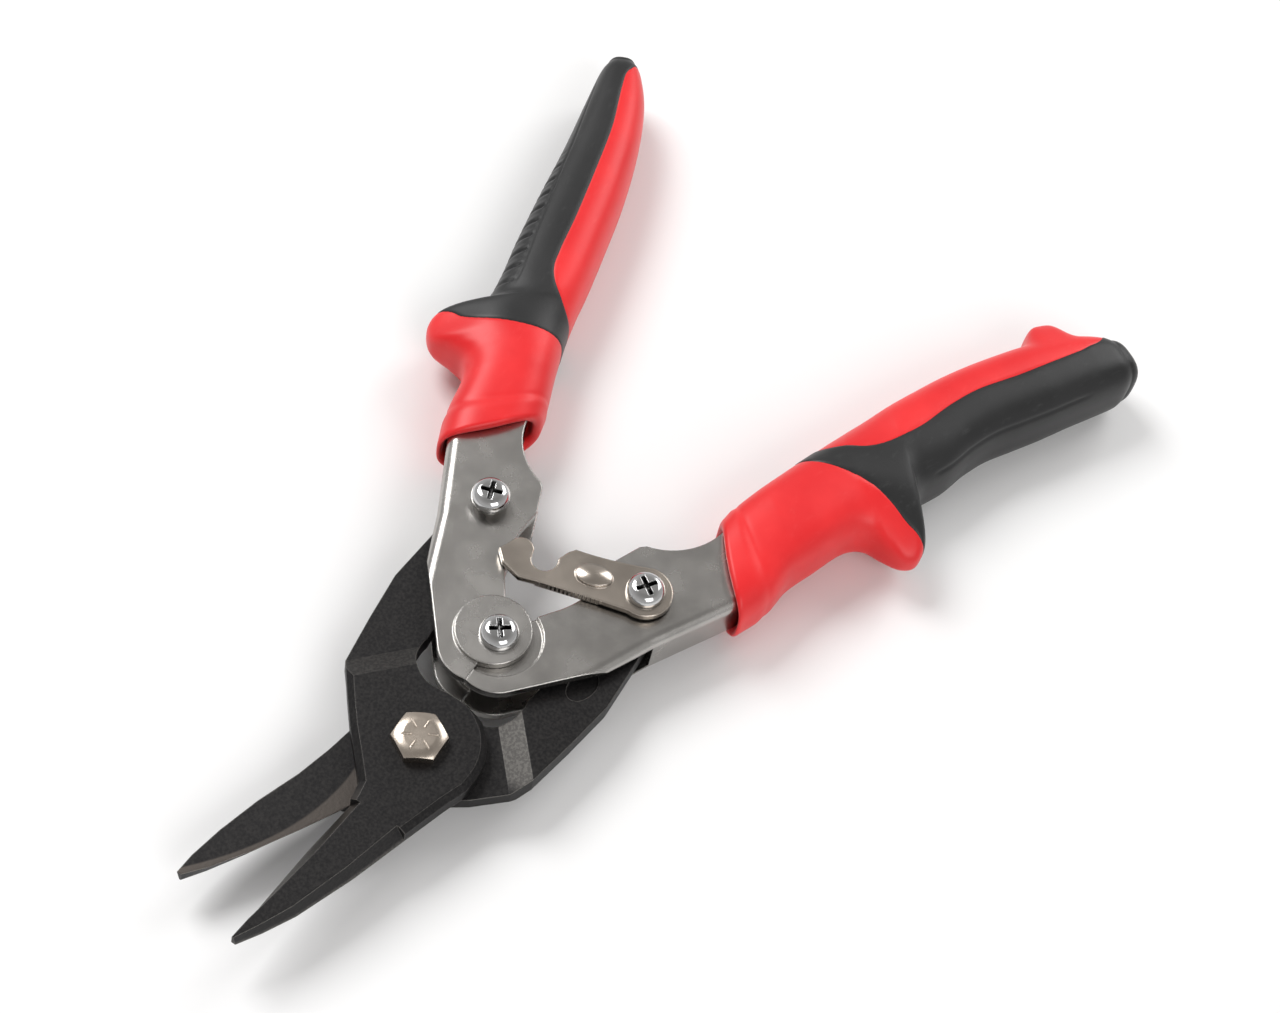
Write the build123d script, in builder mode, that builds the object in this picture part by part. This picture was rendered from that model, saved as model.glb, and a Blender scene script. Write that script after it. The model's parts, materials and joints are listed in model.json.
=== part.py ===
"""Compound-action aviation snips, lying open on a table.

Millimetres. The origin is under the blade pivot, on the surface that the tool lies on. +Z is up
and +Y runs from the blades to the grips. The left handle carries the upper jaw, the right handle
carries the lower jaw and the latch.

The linkage is a kite. Both jaws turn on the blade bolt at its foot, both handles turn on the
handle pivot above it, and a link screw joins each jaw's tail to its handle.
"""

from build123d import *
from math import asin, cos, degrees, radians, sin, sqrt
import os

# ---- linkage
JAW_LINK = 63.25  # blade bolt to link screw
HANDLE_LINK = 35.4  # handle pivot to link screw
OPEN_SPAN = 42.6  # between the link screws, fully open
CLOSED_SPAN = 24.2  # between the link screws, latched

# ---- heights, all measured from the tool's mid-plane
MID = 11.0  # mid-plane above the table
JAW_THICK = 5.2  # each jaw at the bolt
TAIL_THICK = 5.0  # each jaw's tail, centred on the mid-plane
CHANNEL_HIGH = 13.0  # handle channel, outside
SHEET = 2.2  # handle sheet
FACE_GAP = 0.05  # left on each of two faces that slide on each other

# ---- handle stamping
EYE_RADIUS = 7.8  # inner eye round the handle pivot
SEAT_RADIUS = 10.2  # sunk seat for the other handle's raised eye
PAD_RADIUS = 8.9  # raised eye
PAD_SHIFT = (1.2, 1.2)  # raised eye's centre from the pivot, out and along the handle
SHOULDER = 2.6  # rolled corner between cheek and web
STOP_NEAR = 7.2  # where the open stop's faces start, from the handle pivot
STOP_RADIUS = 13.4  # where they end
WEB_START = 33.4  # along the handle, where the web starts
CHANNEL_END = 138.0  # along the handle, inside the grip

# ---- screws, sleeves and washers
BOLT_RADIUS = 3.15
BOLT_HEAD_FLATS = 11.1
BOLT_HEAD_HIGH = 3.2
BOLT_TURN = 32  # degrees, of the head's corners
NUT_WASHER = 1.0
NUT_FLATS = 11.1
SCREW_HEAD_RADIUS = 4.55
SCREW_HEAD_HIGH = 2.9
SCREW_DOME = 2.4  # radius round the head's top
CROSS_SIZE = (5.2, 1.15)  # recess, length and width of an arm
CROSS_DEEP = 1.9
SCREW_RADIUS = 2.0
LINK_RADIUS = 3.0  # sleeve that a jaw's tail turns on
PIVOT_RADIUS = 4.0  # sleeve that the handles turn on
FLANGE_RADIUS = 4.8
FLANGE_HIGH = 1.6
WASHER_RADIUS = 4.5
RUNNING = 0.05  # radial clearance of a turning fit
OPEN_PIVOT = 0.34  # radial clearance of the lower jaw on the bolt
SCREW_FIT = 0.03  # radial clearance of a screw in its sleeve
SLEEVE_FLOOR = 1.0  # under a sleeve's blind bore
SCREW_PLAY = 0.3  # between a screw's end and the bore's floor

# ---- latch
LATCH_WASHER = 0.8
LATCH_SHEET = 1.7
COLLAR_RADIUS = 2.65
NOTCH_FIT = 0.35
HEAD_GAP = 0.2  # between the latch and the head that it hooks under
LATCH_LIP = 0.45  # how far the thumb lip reaches below the plate
LATCH_BUMP = 0.7  # how far the bump stands above it
LATCH_END = 6.5  # round the link screw
NOTCH_ANGLE = 196.0  # direction of the notch from the link screw
MOUTH_REACH = 9.0  # notch's mouth, cut past the plate's edge

# ---- return spring
WIRE = 1.5
COIL_PLAY = 0.6  # between the coil and the sleeve
COIL_END_PLAY = 0.15  # between the coil's ends and the handles' eyes
SPRING_TURNS = 2

# ---- jaws
BOLT_BOSS = 15.0  # jaw's outline round the bolt
BEVEL = 1.5  # round the top of each jaw
TAIL_EYE = 6.3  # tail's outline round the link screw
RAMP_ANGLE = 48.0  # direction of the step between tail and boss
RAMP_NEAR = 18.6  # the step's two ends, from the bolt
RAMP_FAR = 24.0
RECESS_DEPTH = 0.5  # oval in the lower jaw's tail

# ---- grips
GRIP_HIGH = 22.0
GRIP_ROUND = 2.5
OUTLINE_STEPS = 60
RUBBER = 2.4  # overmould's thickness over the core at the sides
CORE_WALL = 1.8  # core's thickness over the channel's cheeks
CHANNEL_FIT = 0.1

half_open = OPEN_SPAN / 2
link_y = sqrt(JAW_LINK**2 - half_open**2)
pivot_y = link_y - sqrt(HANDLE_LINK**2 - half_open**2)
spread = degrees(asin(half_open / HANDLE_LINK))  # each handle from the middle line
lean, out = sin(radians(spread)), cos(radians(spread))
cheek_out, cheek_in = CHANNEL_HIGH / 2, CHANNEL_HIGH / 2 - SHEET
side_gap = cheek_in - TAIL_THICK / 2  # beside the tail, for the spring's leg and the washers
press = SHEET / 2  # how far an eye is pressed out of its cheek
eye_top = cheek_out + press
left_link, right_link, pivot = (-half_open, link_y), (half_open, link_y), (0, pivot_y)

os.makedirs("parts", exist_ok=True)


def handle_frame(side):
    """Local frame of a handle: x out from the middle, y along the handle from its pivot.
    The left one is the right one turned over, so both handles come from one stamping."""
    return Plane(origin=(0, pivot_y, MID), x_dir=(side * out, -lean, 0), z_dir=(0, 0, side))


def jaw_frame(side):
    """Local frame of a jaw at the bolt. The lower jaw is turned over."""
    return Plane(origin=(0, 0, MID), x_dir=(side, 0, 0), z_dir=(0, 0, side))


def write(piece, name):
    piece.part.label = name
    export_step(piece.part, f"parts/{name}.step")


def level(height):
    """Horizontal plane at a height from the mid-plane."""
    return Plane.XY.offset(MID + height)


# ---------------------------------------------------------------- handles

stop_near_y, stop_far_y = -STOP_NEAR * out, -STOP_RADIUS * out
stop_near = (FACE_GAP - stop_near_y * lean / out, stop_near_y)
stop_far = (FACE_GAP - stop_far_y * lean / out, stop_far_y)
SPINE = [(12.2, WEB_START), (8.2, 58), (-5.5, 88), (-14, 110), (-26, CHANNEL_END)]
INNER_EDGE = [(-36, CHANNEL_END), (-29, 112), (-20, 90), (-13.5, 70), (-11, 60)]


def handle_channel(side):
    """U channel of pressed sheet: two cheeks joined by a web along the outside. One cheek's
    eye is pressed outwards and the other's inwards, so that two handles nest at the pivot."""
    frame = handle_frame(side)
    with BuildPart() as channel:
        with BuildSketch(frame.offset(-cheek_out)):
            with BuildLine():
                Polyline((-2.0, 9.1), (0, 0), stop_near, stop_far)
                ThreePointArc(stop_far, (12.1, -7.6), (13.9, -3.4))
                Polyline((13.9, -3.4), (15.2, 21.2), *SPINE, *INNER_EDGE)
                ThreePointArc(INNER_EDGE[-1], (-8.9, 50.5), (-12.4, 41.0))
                Polyline((-12.4, 41.0), (-12.7, 39.3), (-10.9, 32.6), (-7.2, 28.3))
                ThreePointArc((-7.2, 28.3), (-3.6, 21.5), (-2.3, 14.0))
                Line((-2.3, 14.0), (-2.0, 9.1))
            make_face()
        extrude(amount=CHANNEL_HIGH)
        rolled = [
            e
            for e in channel.edges().filter_by(GeomType.LINE)
            if e.length > 20
            and abs(abs(e.center().Z - MID) - cheek_out) < 0.01
            and frame.to_local_coords(e.center()).X > -1.5
            and WEB_START < frame.to_local_coords(e.center()).Y < 75
        ]
        fillet(rolled, SHOULDER)
        # hollow between the cheeks
        with BuildSketch(frame.offset(-cheek_in)):
            with BuildLine():
                inside = [(x - SHEET * 1.05, y) for x, y in SPINE]
                Polyline(
                    (40, -30), (40, WEB_START), *inside, (inside[-1][0], CHANNEL_END + 9),
                    (-70, CHANNEL_END + 9), (-70, -30), (40, -30),
                )
            make_face()
        extrude(amount=2 * cheek_in, mode=Mode.SUBTRACT)
        # the eye that is pressed inwards, with its sunk seat
        with BuildSketch(frame.offset(cheek_in)):
            Circle(SEAT_RADIUS)
        extrude(amount=SHEET + 1, mode=Mode.SUBTRACT)
        with BuildSketch(frame.offset(cheek_in - press)):
            with BuildLine():
                Polyline((-2.0, 9.1), (-2.3, 14), (14, 14), (14, -3.5), stop_far, stop_near,
                         (0, 0), (-2.0, 9.1))
            make_face()
            Circle(SEAT_RADIUS, mode=Mode.INTERSECT)
            Circle(EYE_RADIUS)
        extrude(amount=SHEET - FACE_GAP)
        # the eye that is pressed outwards
        with BuildSketch(frame.offset(-cheek_out)):
            with Locations(PAD_SHIFT):
                Circle(PAD_RADIUS)
        extrude(amount=SHEET, mode=Mode.SUBTRACT)
        with BuildSketch(frame.offset(-eye_top)):
            with Locations(PAD_SHIFT):
                Circle(PAD_RADIUS)
        extrude(amount=SHEET - FACE_GAP)
        with BuildSketch(frame.offset(-eye_top - 1)):
            Circle(PIVOT_RADIUS + RUNNING)
            with Locations((0, HANDLE_LINK)):
                Circle(LINK_RADIUS + SCREW_FIT)
        extrude(amount=2 * cheek_out + 2 * press + 2, mode=Mode.SUBTRACT)
    return channel


left_handle = handle_channel(-1)
right_handle = handle_channel(1)
write(left_handle, "left_handle")
write(right_handle, "right_handle")

# ---------------------------------------------------------------- jaws

TAIL = (-half_open, link_y)
TAIL_SIDE = [(-28.9, 32.5), (-27.2, 19.9), (-25.2, 7.8)]
boss_up = (BOLT_BOSS * cos(radians(56)), BOLT_BOSS * sin(radians(56)))
boss_right = (BOLT_BOSS, 0)


def jaw(side, throat, back, bolt_fit, stations):
    """Forged jaw: a tail on the mid-plane, stepped at the ramp to its own side of the shear
    plane, and a hollow-backed blade. throat runs from the tail to the cutting edge, back runs
    from the boss down the blade's back. Each station of the blade gives the cutting edge, the
    ridge above it, the back's top and foot, and the thickness."""
    frame = jaw_frame(side)
    lift = FACE_GAP / 2
    foot_y = throat[-1][1]
    with BuildPart() as body:
        with BuildSketch(frame.offset(-TAIL_THICK / 2)):
            with BuildLine():
                ThreePointArc(
                    (TAIL[0] + TAIL_EYE, TAIL[1]), (TAIL[0], TAIL[1] + TAIL_EYE),
                    (TAIL[0] - TAIL_EYE, TAIL[1]),
                )
                Polyline((TAIL[0] - TAIL_EYE, TAIL[1]), *TAIL_SIDE, *throat)
                Polyline(throat[-1], *reversed(back), boss_right)
                ThreePointArc(
                    boss_right, (BOLT_BOSS * cos(radians(28)), BOLT_BOSS * sin(radians(28))), boss_up
                )
                ThreePointArc(boss_up, (2.0, 13.3), (-4.8, 12.9))
                ThreePointArc((-4.8, 12.9), (-11.5, 15.7), (-13.6, 23.4))
                Polyline((-13.6, 23.4), (-15.0, 37.0), (TAIL[0] + TAIL_EYE, TAIL[1]))
            make_face()
        extrude(amount=TAIL_THICK / 2 + JAW_THICK)
        top = body.faces().sort_by(Axis((0, 0, 0), (0, 0, side)))[-1]
        rims = []
        for rim in top.edges():
            middle = frame.to_local_coords(rim.center())
            along_throat = middle.X < 2 and foot_y + 0.5 < middle.Y < 5
            along_back = middle.X > 3 and middle.Y > foot_y + 1
            if along_throat or along_back:
                rims.append(rim)
        chamfer(rims, BEVEL)
        # side view of the step between tail and boss
        run = frame.x_dir * sin(radians(RAMP_ANGLE)) - frame.y_dir * cos(radians(RAMP_ANGLE))
        with BuildSketch(Plane(frame.origin, x_dir=run, z_dir=run.cross(frame.z_dir))):
            with BuildLine():
                Polyline(
                    (-90, -TAIL_THICK / 2), (-90, TAIL_THICK / 2), (-RAMP_FAR, TAIL_THICK / 2),
                    (-RAMP_NEAR, JAW_THICK), (60, JAW_THICK), (60, lift), (-RAMP_NEAR, lift),
                    (-RAMP_FAR, -TAIL_THICK / 2), (-90, -TAIL_THICK / 2),
                )
            make_face()
        extrude(amount=90, both=True, mode=Mode.INTERSECT)
        # blade
        sections = []
        for edge, ridge, crest, foot, thick in stations:
            section = [(*edge, lift), (*foot, lift), (*crest, thick), (*ridge, thick)]
            corners = [frame.from_local_coords(Vector(*v)) for v in section]
            sections.append(Face(Wire.make_polygon(corners, close=True)))
        loft(sections, ruled=True)
        # bores
        with BuildSketch(frame.offset(-JAW_THICK)):
            Circle(BOLT_RADIUS + bolt_fit)
            with Locations(TAIL):
                Circle(LINK_RADIUS + RUNNING)
        extrude(amount=2 * JAW_THICK + 1, mode=Mode.SUBTRACT)
    return body


upper_jaw = jaw(
    1,
    throat=[(-19.9, 1.1), (-14.4, -5.5), (-9.9, -10.2), (-5.2, -15.3), (-4.4, -19.5)],
    back=[(14.9, -3.4), (13.1, -8.5), (9.9, -19.5)],
    bolt_fit=SCREW_FIT,
    stations=[
        ((-5.3, -14.0), (-2.9, -14.0), (8.9, -14.0), (11.2, -14.0), 5.2),
        ((-4.4, -19.5), (-1.9, -19.5), (7.6, -19.5), (9.9, -19.5), 5.2),
        ((-5.6, -33.2), (-2.9, -33.2), (4.4, -33.2), (6.0, -33.2), 4.9),
        ((-6.2, -46.8), (-4.6, -46.8), (0.2, -46.8), (1.2, -46.8), 4.3),
        ((-6.4, -54.0), (-5.8, -54.0), (-3.2, -54.0), (-2.4, -54.0), 3.7),
        ((-6.5, -59.0), (-6.3, -59.0), (-5.9, -59.0), (-5.4, -59.0), 3.2),
    ],
)
lower_jaw = jaw(
    -1,
    throat=[(-22.6, 3.1), (-16.1, -3.2), (-8.6, -8.6), (-1.2, -13.6), (4.4, -19.5)],
    back=[(14.9, -4.0), (16.0, -11.0), (17.9, -19.5)],
    bolt_fit=OPEN_PIVOT,
    stations=[
        ((1.2, -16.0), (4.4, -16.0), (14.7, -16.0), (17.0, -16.0), 5.2),
        ((4.4, -19.5), (6.9, -19.5), (15.6, -19.5), (17.9, -19.5), 5.2),
        ((9.7, -30.0), (12.0, -30.0), (19.8, -30.0), (21.3, -30.0), 4.9),
        ((15.2, -40.0), (17.0, -40.0), (22.7, -40.0), (23.7, -40.0), 4.3),
        ((20.2, -48.0), (21.3, -48.0), (24.2, -48.0), (25.0, -48.0), 3.7),
        ((24.1, -52.9), (24.3, -52.9), (24.7, -52.9), (25.2, -52.9), 3.2),
    ],
)
with BuildPart() as lower_jaw_marked:
    add(lower_jaw.part)
    with BuildSketch(level(TAIL_THICK / 2 - RECESS_DEPTH)):
        with Locations(Location((21.5, 33.8, 0), (0, 0, 80))):
            Ellipse(4.5, 2.9)
    extrude(amount=3, mode=Mode.SUBTRACT)
write(upper_jaw, "upper_jaw")
write(lower_jaw_marked, "lower_jaw")

# ---------------------------------------------------------------- blade bolt

hex_corner = BOLT_HEAD_FLATS / sqrt(3)
with BuildPart() as pivot_bolt:
    with BuildSketch(level(JAW_THICK)):
        RegularPolygon(hex_corner, 6, rotation=BOLT_TURN)
    extrude(amount=BOLT_HEAD_HIGH)
    with BuildSketch(Plane(origin=(0, 0, MID + JAW_THICK), z_dir=(0, -1, 0), x_dir=(1, 0, 0))):
        with BuildLine():
            Polyline((0, 0), (hex_corner + 0.1, 0), (hex_corner + 0.1, BOLT_HEAD_HIGH - 1.1))
            ThreePointArc(
                (hex_corner + 0.1, BOLT_HEAD_HIGH - 1.1), (5.2, BOLT_HEAD_HIGH - 0.35),
                (3.6, BOLT_HEAD_HIGH),
            )
            Polyline((3.6, BOLT_HEAD_HIGH), (0, BOLT_HEAD_HIGH), (0, 0))
        make_face()
    revolve(axis=Axis.Z, mode=Mode.INTERSECT)
    with BuildSketch(level(JAW_THICK)):
        Circle(BOLT_RADIUS)
    extrude(amount=-(JAW_THICK + MID - 0.6))
write(pivot_bolt, "pivot_bolt")

with BuildPart() as pivot_washer:
    with BuildSketch(level(-JAW_THICK - NUT_WASHER)):
        Circle(hex_corner + 0.6)
        Circle(BOLT_RADIUS + 0.15, mode=Mode.SUBTRACT)
    extrude(amount=NUT_WASHER)
write(pivot_washer, "pivot_washer")

nut_high = MID - JAW_THICK - NUT_WASHER
with BuildPart() as pivot_nut:
    with BuildSketch(level(-MID + 1.4)):
        RegularPolygon(NUT_FLATS / sqrt(3), 6, rotation=14)
    extrude(amount=nut_high - 1.4)
    with BuildSketch(level(-MID)):
        Circle(NUT_FLATS / 2 - 0.25)
    extrude(amount=1.4)
    chamfer(pivot_nut.faces().sort_by(Axis.Z)[0].edges(), 0.5)
    with BuildSketch(level(-MID - 1)):
        Circle(BOLT_RADIUS + SCREW_FIT)
    extrude(amount=MID, mode=Mode.SUBTRACT)
write(pivot_nut, "pivot_nut")

# ---------------------------------------------------------------- screws and sleeves


def sleeve(place, radius, foot, top, collar=None):
    """Sleeve nut: a flange under the tool and a tube through it, bored for its screw. collar is
    the thinner radius and the height from which it runs."""
    with BuildPart() as piece:
        with BuildSketch(level(foot - FLANGE_HIGH)):
            with Locations(place):
                Circle(FLANGE_RADIUS)
        extrude(amount=FLANGE_HIGH)
        chamfer(piece.faces().sort_by(Axis.Z)[0].edges(), 0.5)
        with BuildSketch(level(foot)):
            with Locations(place):
                Circle(radius)
        extrude(amount=(collar[1] if collar else top) - foot)
        if collar:
            with BuildSketch(level(collar[1])):
                with Locations(place):
                    Circle(collar[0])
            extrude(amount=top - collar[1])
        with BuildSketch(level(foot + SLEEVE_FLOOR)):
            with Locations(place):
                Circle(SCREW_RADIUS + SCREW_FIT)
        extrude(amount=top - foot, mode=Mode.SUBTRACT)
    return piece


def screw(place, seat, foot, turn):
    """Pan-head cross-recess screw standing in its sleeve."""
    with BuildPart() as piece:
        with BuildSketch(level(seat)):
            with Locations(place):
                Circle(SCREW_HEAD_RADIUS)
        extrude(amount=SCREW_HEAD_HIGH)
        fillet(piece.faces().sort_by(Axis.Z)[-1].edges(), SCREW_DOME)
        with BuildSketch(level(seat)):
            with Locations(place):
                Circle(SCREW_RADIUS)
        extrude(amount=foot - seat)
        with BuildSketch(level(seat + SCREW_HEAD_HIGH)):
            with Locations(Location((*place, 0), (0, 0, turn))):
                Rectangle(*CROSS_SIZE)
                Rectangle(*reversed(CROSS_SIZE))
        extrude(amount=-CROSS_DEEP, taper=12, mode=Mode.SUBTRACT)
    return piece


left_seat = cheek_out + LATCH_WASHER + LATCH_SHEET + HEAD_GAP
right_seat = cheek_out + LATCH_WASHER + LATCH_SHEET + FACE_GAP
pivot_seat = eye_top + FACE_GAP
screw_foot = SLEEVE_FLOOR + SCREW_PLAY - cheek_out
left_link_sleeve = sleeve(
    left_link, LINK_RADIUS, -cheek_out, left_seat, collar=(COLLAR_RADIUS, cheek_out)
)
right_link_sleeve = sleeve(right_link, LINK_RADIUS, -cheek_out, right_seat)
handle_pivot_sleeve = sleeve(pivot, PIVOT_RADIUS, -eye_top, pivot_seat)
left_link_screw = screw(left_link, left_seat, screw_foot, 20)
right_link_screw = screw(right_link, right_seat, screw_foot, 55)
handle_pivot_screw = screw(pivot, pivot_seat, screw_foot, 38)
write(left_link_sleeve, "left_link_sleeve")
write(right_link_sleeve, "right_link_sleeve")
write(handle_pivot_sleeve, "handle_pivot_sleeve")
write(left_link_screw, "left_link_screw")
write(right_link_screw, "right_link_screw")
write(handle_pivot_screw, "handle_pivot_screw")


def tail_washers(place):
    """Two spacers that centre a jaw's tail between the cheeks."""
    thick = cheek_in - TAIL_THICK / 2 - FACE_GAP
    with BuildPart() as pair:
        for foot in (-cheek_in, cheek_in - thick):
            with BuildSketch(level(foot)):
                with Locations(place):
                    Circle(WASHER_RADIUS)
                    Circle(LINK_RADIUS + RUNNING, mode=Mode.SUBTRACT)
            extrude(amount=thick)
    return pair


left_tail_washers = tail_washers(left_link)
right_tail_washers = tail_washers(right_link)
write(left_tail_washers, "left_tail_washers")
write(right_tail_washers, "right_tail_washers")

# ---------------------------------------------------------------- latch

with BuildPart() as latch_washer:
    with BuildSketch(level(cheek_out)):
        with Locations(right_link):
            Circle(WASHER_RADIUS + 1.3)
            Circle(LINK_RADIUS + RUNNING, mode=Mode.SUBTRACT)
    extrude(amount=LATCH_WASHER)
write(latch_washer, "latch_washer")

# the lever lies in its own plane, whose origin is on the link screw
latch_plane = Plane(origin=(*right_link, MID + cheek_out + LATCH_WASHER))
notch_radius = COLLAR_RADIUS + NOTCH_FIT
notch = (CLOSED_SPAN * cos(radians(NOTCH_ANGLE)), CLOSED_SPAN * sin(radians(NOTCH_ANGLE)))
mouth = (cos(radians(NOTCH_ANGLE - 90)), sin(radians(NOTCH_ANGLE - 90)))
latch_heel, latch_cheek = (-1.4, 6.4), (-0.6, -6.5)  # where the end's arc starts and stops
latch_front = [
    latch_cheek, (-6.7, -8.1), (-22.3, -12.8), (-25.6, -14.0), (-30.9, -12.7), (-33.4, -10.3),
    (-32.1, -6.8),
]
hook_end = (-27.1, -5.2)
latch_back = [(-18.8, -0.1), (-13.6, 1.4), (-8.7, 3.2), latch_heel]
with BuildPart() as latch_lever:
    with BuildSketch(latch_plane) as plan:
        with BuildLine():
            Spline(*latch_back)
            ThreePointArc(latch_heel, (LATCH_END, 0), latch_cheek)
            Polyline(*latch_front)
            ThreePointArc(latch_front[-1], (-29.7, -4.4), hook_end)
            Polyline(hook_end, (-25.9, -6.6), (-21.1, -5.6), (-19.9, -1.8), latch_back[0])
        make_face()
        with Locations(notch):
            Circle(notch_radius, mode=Mode.SUBTRACT)
        with BuildLine():
            side_x, side_y = mouth[1] * notch_radius, -mouth[0] * notch_radius
            far_x, far_y = MOUTH_REACH * mouth[0], MOUTH_REACH * mouth[1]
            Polyline(
                (notch[0] + side_x, notch[1] + side_y), (notch[0] - side_x, notch[1] - side_y),
                (notch[0] - side_x + far_x, notch[1] - side_y + far_y),
                (notch[0] + side_x + far_x, notch[1] + side_y + far_y),
                (notch[0] + side_x, notch[1] + side_y),
            )
        make_face(mode=Mode.SUBTRACT)
        Circle(LINK_RADIUS + RUNNING, mode=Mode.SUBTRACT)
    extrude(amount=LATCH_SHEET)
    # thumb lip along the front edge
    with BuildSketch(latch_plane.offset(-LATCH_LIP)):
        with BuildLine():
            Polyline((-7.3, -8.3), (-21.9, -12.7), (-22.3, -11.4), (-7.7, -7.0), (-7.3, -8.3))
        make_face()
    extrude(amount=LATCH_LIP + LATCH_SHEET)
    # pressed bump
    with BuildSketch(latch_plane.offset(LATCH_SHEET)):
        with Locations(Location((-11.7, -3.6, 0), (0, 0, 18))):
            Ellipse(4.3, 2.9)
    extrude(amount=LATCH_BUMP)
write(latch_lever, "latch_lever")

# ---------------------------------------------------------------- return spring


coil_turns = SPRING_TURNS + (180 - 2 * spread) / 360
coil_radius = PIVOT_RADIUS + COIL_PLAY + WIRE / 2
coil_end = cheek_in - press - COIL_END_PLAY - WIRE / 2  # height of its ends from the mid-plane
leg_high = TAIL_THICK / 2 + side_gap / 2  # height of the legs beside the jaw's tail
COIL_STEPS = 24


def spring_leg(side):
    """Points of a leg from the coil out to the handle's web."""
    corners = [
        (0, 1.5, -coil_end), (0.05, 4.0, -coil_end), (0.1, 6.6, -coil_end - 0.05),
        (0.25, 9.4, -leg_high + 0.05), (0.3, 12.5, -leg_high), (0.4, 22.0, -leg_high),
        (0.55, 30.0, -leg_high), (0.75, HANDLE_LINK, -leg_high), (1.55, 45.0, -leg_high),
    ]
    frame = handle_frame(side)
    return [frame.from_local_coords(Vector(coil_radius + x, y, z)) for x, y, z in corners]


coil_points = []
for k in range(COIL_STEPS + 1):
    angle = radians(180 + spread + 360 * coil_turns * k / COIL_STEPS)
    height = coil_end * (1 - 2 * k / COIL_STEPS)
    coil_points.append(
        (coil_radius * cos(angle), pivot_y + coil_radius * sin(angle), MID + height)
    )
with BuildPart() as return_spring:
    with BuildLine() as wire_line:
        Spline(*reversed(spring_leg(-1)), *coil_points, *spring_leg(1))
    with BuildSketch(Plane(wire_line.line @ 0, z_dir=wire_line.line % 0)):
        Circle(WIRE / 2)
    sweep(path=wire_line.line)
write(return_spring, "return_spring")

# ---------------------------------------------------------------- grips

grip_half = GRIP_HIGH / 2


def grip(side, outline, front, inlay):
    """One grip, moulded in two shots: a core that is pushed over the channel and shows as the
    front and as the inlay, and a soft overmould round the rest. outline runs round the grip,
    front is the line where the overmould starts, inlay the core's edge beside the palm side."""
    frame = handle_frame(side)
    with BuildPart() as whole:
        with BuildSketch(frame.offset(-grip_half)) as plan:
            with BuildLine():
                smooth = Spline(*outline, periodic=True, mode=Mode.PRIVATE)
                Polyline(*[smooth @ (k / OUTLINE_STEPS) for k in range(OUTLINE_STEPS)], close=True)
            make_face()
        extrude(amount=GRIP_HIGH)
        caps = [f for f in whole.faces() if abs(abs(f.center().Z - MID) - grip_half) < 0.01]
        fillet([e for f in caps for e in f.edges()], GRIP_ROUND)
    with BuildPart() as cavity:
        with BuildSketch(frame.offset(-cheek_out - CHANNEL_FIT)):
            with BuildLine():
                fit = CHANNEL_FIT
                Polyline(
                    *[(x + fit, y) for x, y in SPINE], (SPINE[-1][0] + fit, CHANNEL_END + 0.5),
                    (INNER_EDGE[0][0] - fit, CHANNEL_END + 0.5),
                    *[(x - fit, y) for x, y in INNER_EDGE], (-13, 40), (12.2 + fit, WEB_START),
                )
            make_face()
        extrude(amount=2 * cheek_out + 2 * CHANNEL_FIT)
    with BuildPart() as nose:
        with BuildSketch(frame.offset(-grip_half - 1)):
            with BuildLine():
                Polyline(*front, (front[-1][0], 20), (front[0][0], 20), front[0])
            make_face()
        extrude(amount=GRIP_HIGH + 2)
    with BuildPart() as palm:
        with BuildSketch(frame.offset(-grip_half - 1)):
            with BuildLine():
                Polyline(*inlay, (-60, inlay[-1][1]), (-60, inlay[0][1]), close=True)
            make_face()
        extrude(amount=GRIP_HIGH + 2)
    with BuildPart() as core:
        with BuildSketch(frame.offset(-cheek_out - CORE_WALL)):
            add(plan.sketch_local)
            offset(amount=-RUBBER, mode=Mode.REPLACE)
        extrude(amount=2 * (cheek_out + CORE_WALL))
        add(whole.part.intersect(nose.part))
        add(whole.part.intersect(palm.part))
        add(cavity.part, mode=Mode.SUBTRACT)
    with BuildPart() as skin:
        add(whole.part)
        add(core.part, mode=Mode.SUBTRACT)
        add(nose.part, mode=Mode.SUBTRACT)
        add(cavity.part, mode=Mode.SUBTRACT)
    return core, skin


left_grip_core, left_grip_cover = grip(
    -1,
    outline=[
        (9.3, 58.0), (6.2, 66.3), (3.9, 72.4), (5.4, 78.0), (11.2, 83.2), (12.2, 88.4),
        (8.4, 93.2), (2.6, 93.0), (-2.8, 95.2), (-7.0, 103.0), (-11.4, 114.1), (-18.4, 129.4),
        (-25.6, 144.3), (-32.3, 159.6), (-37.4, 171.6), (-41.8, 176.6), (-46.0, 175.4),
        (-48.9, 169.2), (-48.6, 158.3), (-46.7, 149.3), (-40.9, 129.9), (-32.3, 108.7),
        (-25.8, 93.9), (-22.3, 85.9), (-18.8, 74.1), (-16.6, 66.0), (-14.2, 60.6), (-8.0, 57.4),
        (1.1, 56.6), (6.6, 54.9),
    ],
    front=[(-60, 78.0), (-21.1, 80.5), (-15.1, 82.4), (-8.8, 83.9), (-0.6, 85.7), (6.9, 88.0),
           (20, 91.0)],
    inlay=[
        (-26.0, 85.6), (-21.0, 93.6), (-19.8, 100.0), (-21.9, 106.5), (-26.7, 117.3),
        (-33.3, 133.5), (-38.6, 147.6), (-42.2, 161.0), (-45.0, 168.5), (-52, 170.5),
    ],
)
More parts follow.
